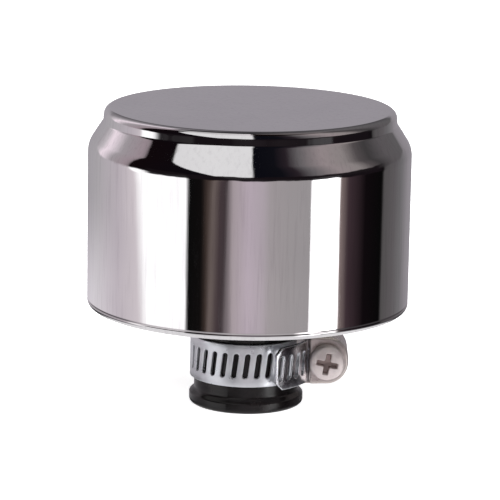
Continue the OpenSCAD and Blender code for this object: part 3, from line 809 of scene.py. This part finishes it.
housing = {"foot": 10.2, "top": 19, "half": 4.52, "corner": 4.1, "sheet": 0.4, "round": 0.08,
           "front": -5.1, "back": 4.3, "frontFoot": 11.85, "backFoot": 12.1, "screwX": 15,
           "frontHole": 1.88, "backHole": 1.38, "holeEdge": 0.1, "wallSheet": 0.7, "bend": 0.5,
           "outlinePoints": 1200, "spokes": 160, "archPoints": 900, "archRows": 120}


def archLine(inset, foot, steps=40):
    # from the lower foot up one side, round both corners and back, in x and height above the
    # clamp's middle
    h = housing
    corner, half, top = h["corner"] - inset, h["half"] - inset, h["top"] - inset
    lower = arc([top - corner, -half + corner], corner, -90, 0, steps)
    return np.concatenate([[[foot, -half]], lower, (lower * (1, -1))[::-1], [[foot, half]]])


def dense(line, count):
    # the same line with count points spread evenly along it
    along = np.concatenate([[0], np.cumsum(np.linalg.norm(np.diff(line, axis=0), axis=1))])
    s = np.linspace(0, along[-1], count)
    return np.stack([np.interp(s, along, line[:, k]) for k in (0, 1)], 1)


def endWall(face, way, holeRadius, foot):
    # a drawn end: rings from the hole out to the arch's outline, whose edge rolls over with
    # the bend's radius; face is the outer side, way is 1 where the wall lies towards +Y of it
    h = housing
    outline = archLine(0.01, foot)
    outline = dense(np.concatenate([outline, outline[:1]]), h["outlinePoints"])[:-1]
    centre = np.array([h["screwX"], 0])
    offset = outline - centre
    order = np.argsort(np.arctan2(offset[:, 1], offset[:, 0]))
    angle, reach = np.arctan2(offset[order, 1], offset[order, 0]), np.linalg.norm(offset[order], axis=1)
    a = np.linspace(-math.pi, math.pi, h["spokes"], endpoint=False)
    spoke = np.stack([np.cos(a), np.sin(a)], 1)
    outerLine = centre + spoke * (np.interp(a, angle, reach, period=fullTurn) - h["bend"])[:, None]
    holeLine = centre + spoke * (holeRadius + h["holeEdge"])
    rings = holeLine + np.array([0, 0.1, 0.5, 0.9, 1])[:, None, None] * (outerLine - holeLine)
    bend = np.radians(np.linspace(0, 90, 9))
    rolled = np.stack([h["bend"] * np.sin(bend), h["bend"] * (1 - np.cos(bend))], 1)
    rim = np.concatenate([rolled, [[h["bend"], h["wallSheet"]], [0, h["wallSheet"]]]])
    holeEdge = np.stack([h["holeEdge"] * np.sin(bend), h["holeEdge"] * (1 - np.cos(bend))], 1)
    holeRim = np.concatenate([holeEdge, [[h["holeEdge"], h["wallSheet"]], [0, h["wallSheet"]]]])
    patches = []
    for depth in (0, h["wallSheet"]):
        wall = np.concatenate([rings, np.full(rings.shape[:2] + (1,), depth)], -1)
        patches.append(patch(wall, closeColumns=True))
    patches.append(patch(edgeWall(outerLine, rim), closeColumns=True))
    patches.append(patch(edgeWall(holeLine, holeRim, -1), closeColumns=True))
    return [(np.stack([p[:, 0], face + way * p[:, 2], clamp["z"] + p[:, 1]], 1), quads)
            for p, quads in patches]


def makeHousing():
    # a plain strip laid over the arch's line, and a drawn wall at each end of it
    h = housing
    line = dense(archLine(h["sheet"] / 2, h["foot"]), h["archPoints"])
    path = makePath(line, -1)
    length = path["length"][-1]
    width = h["back"] - h["front"] - 2 * h["bend"]
    half = width / 2 - h["round"]
    s = np.linspace(h["round"], length - h["round"], h["archRows"])
    v = np.array([-half, -half + 0.1, -half / 2, 0, half / 2, half - 0.1, half])
    grid = np.stack(np.meshgrid(s, v, indexing="ij"), -1)
    edge = sheetEdge(h["sheet"], h["round"])
    patches = []
    for height in (h["sheet"] / 2, -h["sheet"] / 2):
        patches.append(patch(np.concatenate([grid, np.full(grid.shape[:2] + (1,), height)], -1)))
    outline = np.concatenate([grid[:, 0], grid[-1, 1:-1], grid[::-1, -1], grid[0, -2:0:-1]])
    patches.append(patch(edgeWall(outline, edge), closeColumns=True))
    middle = (h["back"] + h["front"]) / 2

    def overScrew(plan, v):
        return np.stack([plan[:, 0], middle + v, clamp["z"] + plan[:, 1]], 1)

    shell = wrapStrip(patches, path, overScrew)
    walls = (endWall(h["front"], 1, h["frontHole"], h["frontFoot"])
             + endWall(h["back"], -1, h["backHole"], h["backFoot"]))
    buildPiece("clampHousing", shell + walls, "clamp", finishes["housingSteel"],
               ["clamp_housing"])


makeHousing()

screw = {"headRadius": 3.25, "headBack": -5.25, "headHeight": 2.85, "edge": 0.9, "dome": 0.35,
         "threadOuter": 3, "threadRoot": 2.1, "crest": 0.45, "flank": 18, "threadFrom": -4.3,
         "threadTo": 3.4, "shank": 1.8, "journal": 1.3, "journalEnd": 4.7, "recess": 4.3,
         "recessWidth": 1.0, "recessDepth": 1.5, "recessTurn": 11, "recessMiddle": 0.85, "runOut": 0.5,
         "chamfer": 0.2, "segments": 240, "threadRows": 220, "faceRows": 100}


def makeScrew():
    # rows run along the axis from the journal's end to the middle of the head's face; each
    # row has a radius for every angle, and the recess pushes the face's points back
    s = screw
    a = np.linspace(0, fullTurn, s["segments"], endpoint=False)
    thread = np.linspace(s["threadTo"], s["threadFrom"], s["threadRows"])
    # distance from the crest along the axis; crests face the neck half a pitch each side of y 0
    along = (thread[:, None] - (math.pi - a[None]) * band["pitch"] / fullTurn) % band["pitch"]
    along = np.abs(along - band["pitch"] / 2)
    depth = (along - s["crest"] / 2) / math.tan(math.radians(s["flank"]))
    profile = np.clip(s["threadOuter"] - depth, s["threadRoot"], s["threadOuter"])
    ends = smoothStep(thread, s["threadFrom"], s["threadFrom"] + s["runOut"])
    ends = ends * (1 - smoothStep(thread, s["threadTo"] - s["runOut"], s["threadTo"]))
    wormRadius = s["threadRoot"] + (profile - s["threadRoot"]) * ends[:, None]
    front = s["headBack"] - s["headHeight"]
    plain = [(0, s["journalEnd"]), (s["journal"] - s["chamfer"], s["journalEnd"]),
             (s["journal"], s["journalEnd"] - s["chamfer"]), (s["journal"], s["threadTo"] + 0.05),
             (s["journal"] + 0.1, s["threadTo"])]
    shank = [(s["shank"] + 0.1, s["threadFrom"]), (s["shank"], s["threadFrom"] - 0.1),
             (s["shank"], s["headBack"] + 0.05), (s["shank"] + 0.05, s["headBack"]),
             (s["headRadius"] - 0.25, s["headBack"]), (s["headRadius"] - 0.05, s["headBack"] - 0.08),
             (s["headRadius"], s["headBack"] - 0.3)]
    faceEdge = front + s["dome"]
    rim = arc([s["headRadius"] - s["edge"], faceEdge + s["edge"] * 0.96], s["edge"], 0, -74, 12)
    r = np.linspace(rim[-1, 0], 0, s["faceRows"])[1:]
    # shallow dome over the rest of the face
    dome = rim[-1, 1] - (rim[-1, 1] - front) * (1 - (r / rim[-1, 0]) ** 2)
    rows = [np.array(plain), np.array(shank), rim, np.stack([r, dome], 1)]
    turned = [np.repeat(line[:, :1], s["segments"], 1) for line in rows]
    radius = np.concatenate([turned[0], wormRadius] + turned[1:])
    y = np.concatenate([rows[0][:, 1], thread] + [x[:, 1] for x in rows[1:]])
    x, z = radius * np.cos(a), radius * np.sin(a)
    turn = math.radians(s["recessTurn"])
    u, w = x * math.cos(turn) - z * math.sin(turn), x * math.sin(turn) + z * math.cos(turn)
    half = s["recess"] / 2

    def arm(p, q):
        # 1 inside one bar of the cross; its sides are steep and its ends slope
        side, end = s["recessWidth"] / 2 - np.abs(q), half - np.abs(p)
        return smoothStep(side, -0.08, 0.14) * smoothStep(end, -0.05, 0.6)

    middle = smoothStep(s["recessMiddle"] - np.hypot(u, w), -0.08, 0.12)
    cross = np.maximum(np.maximum(arm(u, w), arm(w, u)), middle)
    # the recess is deepest in the middle and about half as deep at the ends of its bars
    taper = 0.55 + 0.45 * (1 - np.clip(np.hypot(u, w) / half, 0, 1))
    sunk = s["recessDepth"] * cross * taper
    sunk[:len(y) - len(r)] = 0
    points = np.stack([housing["screwX"] + x, y[:, None] + sunk, clamp["z"] + z], -1)
    buildPiece("clampScrew", [patch(points, closeColumns=True)], "screw",
               finishes["screwZinc"], ["clamp_screw"])


makeScrew()
print("neck and clamp made")

# pieces inside the cap or behind the clamp, which keep their CAD shape
kept = {"inner_screen": "wire", "inner_core": "platedSteel", "bridge": "platedSteel",
        "bridge_rivets": "platedSteel", "neck_collar": "platedSteel", "flat_washer": "platedSteel",
        "spring_washer": "platedSteel", "lock_nut": "platedSteel", "clamp_saddle": "housingSteel"}
for node, finish in kept.items():
    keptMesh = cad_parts[node].data
    keptMesh.materials.clear()
    keptMesh.materials.append(finishes[finish])
print("kept CAD pieces:", len(kept))

view = {"distance": 554.7, "elevation": 12.246, "roll": -0.998, "target": (0.33, 0, 28.95), "lens": 214.0,
        "sensor": 36, "nearest": 0.01, "farthest": 20}  # nearest and farthest in metres


def makeCamera():
    # looks level along +Y, tipped down by the elevation and turned by the roll
    v = view
    rise, roll = math.radians(v["elevation"]), math.radians(v["roll"])
    ahead = Vector((0, math.cos(rise), -math.sin(rise)))
    right = Vector((1, 0, 0))
    up = right.cross(ahead)
    turnedRight = right * math.cos(roll) - up * math.sin(roll)
    turnedUp = right * math.sin(roll) + up * math.cos(roll)
    place = (Vector(v["target"]) - ahead * v["distance"]) * millimetre
    camera = bpy.data.objects.new("camera", bpy.data.cameras.new("camera"))
    camera.matrix_world = Matrix((
        (turnedRight.x, turnedUp.x, -ahead.x, place.x), (turnedRight.y, turnedUp.y, -ahead.y, place.y),
        (turnedRight.z, turnedUp.z, -ahead.z, place.z), (0, 0, 0, 1)))
    camera.data.lens, camera.data.sensor_width = v["lens"], v["sensor"]
    camera.data.clip_start, camera.data.clip_end = v["nearest"], v["farthest"]
    bpy.context.scene.collection.objects.link(camera)
    bpy.context.scene.camera = camera


makeCamera()

# studio panels round the object, seen only in its reflections: (degrees round from the
# front towards the screw's side, colour) near the horizon, higher up, overhead, and just
# under the horizon
lowPanels = [
    (-180, (0.34, 0.32, 0.35)), (-135, (0.46, 0.44, 0.46)), (-105, (0.56, 0.51, 0.55)),
    (-88, (0.72, 0.66, 0.69)), (-80, (1.3, 1.3, 1.3)), (-45, (1.3, 1.3, 1.3)),
    (-43, (0.004, 0.004, 0.004)), (-33, (0.006, 0.005, 0.005)), (-29, (0.06, 0.042, 0.036)),
    (-25, (0.17, 0.135, 0.125)), (-20, (0.07, 0.050, 0.055)), (-16, (0.06, 0.046, 0.05)),
    (-11, (0.45, 0.39, 0.41)), (0, (0.56, 0.48, 0.54)), (10, (0.50, 0.44, 0.48)),
    (15, (0.42, 0.385, 0.395)), (28, (0.39, 0.365, 0.37)), (44.3, (0.38, 0.36, 0.365)),
    (46, (4, 4, 4)), (65, (4, 4, 4)), (67, (0.28, 0.22, 0.21)), (74, (0.055, 0.035, 0.042)),
    (90, (0.006, 0.004, 0.005)), (108, (0.003, 0.003, 0.003)), (110, (0.10, 0.095, 0.095)),
    (124, (0.13, 0.12, 0.125)), (136, (0.18, 0.175, 0.18)), (152, (0.30, 0.28, 0.30)),
    (180, (0.34, 0.32, 0.35))]
highPanels = [
    (-180, (0.07, 0.066, 0.072)), (-150, (0.30, 0.28, 0.30)), (-138, (0.60, 0.56, 0.59)),
    (-131, (0.98, 0.86, 0.93)), (-124, (0.75, 0.67, 0.72)), (-116, (0.40, 0.37, 0.39)),
    (-99, (0.38, 0.31, 0.34)), (-95, (0.30, 0.25, 0.27)), (-93, (0.006, 0.003, 0.004)),
    (6, (0.004, 0.004, 0.007)), (24, (0.006, 0.006, 0.009)), (36, (0.025, 0.018, 0.023)),
    (48, (0.15, 0.14, 0.145)), (68, (0.34, 0.29, 0.295)), (86, (0.30, 0.27, 0.265)),
    (98, (0.10, 0.088, 0.09)), (108, (0.055, 0.052, 0.053)), (124, (0.12, 0.11, 0.115)),
    (146, (0.13, 0.125, 0.128)), (180, (0.07, 0.066, 0.072))]
topPanels = [
    (-180, (0.035, 0.033, 0.038)), (-140, (0.03, 0.028, 0.032)), (-112, (0.10, 0.095, 0.10)),
    (-96, (0.55, 0.54, 0.54)), (-20, (0.75, 0.73, 0.74)), (0, (0.80, 0.76, 0.78)),
    (6, (0.004, 0.002, 0.002)), (50, (0.008, 0.005, 0.005)), (66, (0.07, 0.06, 0.06)),
    (100, (0.17, 0.15, 0.15)), (135, (0.16, 0.145, 0.15)), (158, (0.05, 0.047, 0.05)),
    (180, (0.035, 0.033, 0.038))]
nearFloor = [
    (-180, (0.05, 0.05, 0.055)), (-125, (0.07, 0.07, 0.075)), (-98, (0.20, 0.20, 0.21)),
    (-80, (0.75, 0.74, 0.76)), (-50, (0.85, 0.84, 0.86)), (-38, (0.50, 0.49, 0.50)),
    (-10, (0.64, 0.63, 0.64)), (34, (0.56, 0.55, 0.56)), (40, (2.4, 2.4, 2.4)), (50, (2.4, 2.4, 2.4)),
    (56, (0.22, 0.21, 0.22)), (80, (0.07, 0.065, 0.07)), (140, (0.08, 0.075, 0.08)),
    (180, (0.05, 0.05, 0.055))]


studio = {"panelLean": 2.2, "streakLean": 0.7, "leanFrom": 11.5, "waver": 9, "dip": 15, "glow": 0.75,
          "boxTop": 47, "boxLeft": -75, "boxLean": 1.3, "boxColour": (0.86, 0.86, 0.86),
          "join": 0.985, "joinColour": (0.010, 0.007, 0.009), "floorColour": (0.84, 0.83, 0.84)}


def makeWorld():
    world = bpy.data.worlds.new("studio")
    world.use_nodes = True
    bpy.context.scene.world = world
    g = Graph(world.node_tree)
    t = studio

    def ring(panels, angle):
        # the panels' colours round the object, blended from one stop to the next
        stops = [((degrees + 180) / 360, colour) for degrees, colour in panels]
        return g.add("ShaderNodeValToRGB", {"stops": stops}, {0: (angle + 180) / 360})

    way = g.add("ShaderNodeTexCoord", output="Generated")
    parts = g.add("ShaderNodeSeparateXYZ", inputs={0: way})
    x, y, z = parts.output("X"), parts.output("Y"), parts.output("Z")
    turn = x.math("ARCTAN2", x, y * -1) * (180 / math.pi)
    rise = z.math("ARCSINE", z) * (180 / math.pi)
    # the left panel's soft edge leans, and the join above the horizon wavers
    leaning = turn.between(-100, -84) * turn.between(-52, -66)
    streak = turn.between(-31, -27) * turn.between(-13, -17)
    shifted = turn + (rise + t["leanFrom"]) * (leaning * t["panelLean"] - streak * t["streakLean"])
    waver = g.add("ShaderNodeTexNoise", inputs={"Vector": way, "Scale": 5.0, "Detail": 2.0})
    behind = turn.math("ABSOLUTE", turn).between(125, 165)
    level = rise + (waver - 0.5) * t["waver"] - behind * t["dip"]
    low, high = ring(lowPanels, shifted), ring(highPanels, turn)
    top, floorward = ring(topPanels, turn), ring(nearFloor, turn)
    glow = 1 + rise.between(-11, -13.5) * turn.between(-90, -150) * t["glow"]
    low = g.add("ShaderNodeVectorMath", {"operation": "SCALE"}, {0: low, "Scale": glow})
    # the rounded white panel above, and the dark line where the two rows meet
    under = t["boxTop"] - rise
    edge = turn - t["boxLeft"] - under.math("MAXIMUM", under, 0) * t["boxLean"]
    softBox = edge.between(0, 4) * turn.between(4, 1)
    high = g.blend(softBox, high, t["boxColour"])
    colour = g.blend(level.between(-2, 4), low, high)
    join = level.between(-8, -4) * level.between(12, 8) * turn.between(-82, -72) * turn.between(115, 100)
    colour = g.blend(join * t["join"], colour, t["joinColour"])
    colour = g.blend(rise.between(56, 62), colour, top)
    colour = g.blend(rise.between(-14, -16.5), colour, floorward)
    colour = g.blend(rise.between(-24, -34), colour, t["floorColour"])
    seen = g.add("ShaderNodeLightPath", output="Is Camera Ray")
    colour = g.blend(seen, colour, (1.0, 1.0, 1.0))
    sky = g.add("ShaderNodeBackground", inputs={"Color": colour})
    g.add("ShaderNodeOutputWorld", inputs={"Surface": sky})


makeWorld()


def floorFinish(g):
    # pale matt sheet with a little light of its own
    grain = g.noise(40, 2)
    return {"Base Color": g.blend(grain, (0.90, 0.90, 0.90), (0.92, 0.92, 0.92)), "Roughness": 0.9,
            "Emission Color": (1, 1, 1, 1), "Emission Strength": 0.75}


def makeFloor():
    reach = 3.0
    corners = [(-reach, -reach, 0), (reach, -reach, 0), (reach, reach, 0), (-reach, reach, 0)]
    sheet = bpy.data.meshes.new("floor")
    sheet.from_pydata(corners, [], [(0, 1, 2, 3)])
    sheet.materials.append(newMaterial("paleFloor", floorFinish, oneSided=True))
    floor = bpy.data.objects.new("floor", sheet)
    floor.visible_glossy = False
    bpy.context.scene.collection.objects.link(floor)


makeFloor()


def addLight(name, place, aim, size, power):
    # soft square light at place, pointing at aim, in metres
    light = bpy.data.lights.new(name, "AREA")
    light.size, light.energy = size, power
    lamp = bpy.data.objects.new(name, light)
    lamp.location = place
    lamp.rotation_euler = (Vector(aim) - Vector(place)).to_track_quat("-Z", "Y").to_euler()
    lamp.visible_glossy = False
    bpy.context.scene.collection.objects.link(lamp)


lights = {"keyLight": ((-0.1, -0.6, 0.55), 0.5, 6), "fillLight": ((0.55, -0.35, 0.35), 0.5, 3),
          "topLight": ((0, 0.1, 0.9), 0.8, 6)}  # place in metres, size in metres, power in watts
for name, (place, size, power) in lights.items():
    addLight(name, place, (0, 0, 0.03), size, power)
bpy.context.scene.view_settings.view_transform = "Standard"
print("stage set")
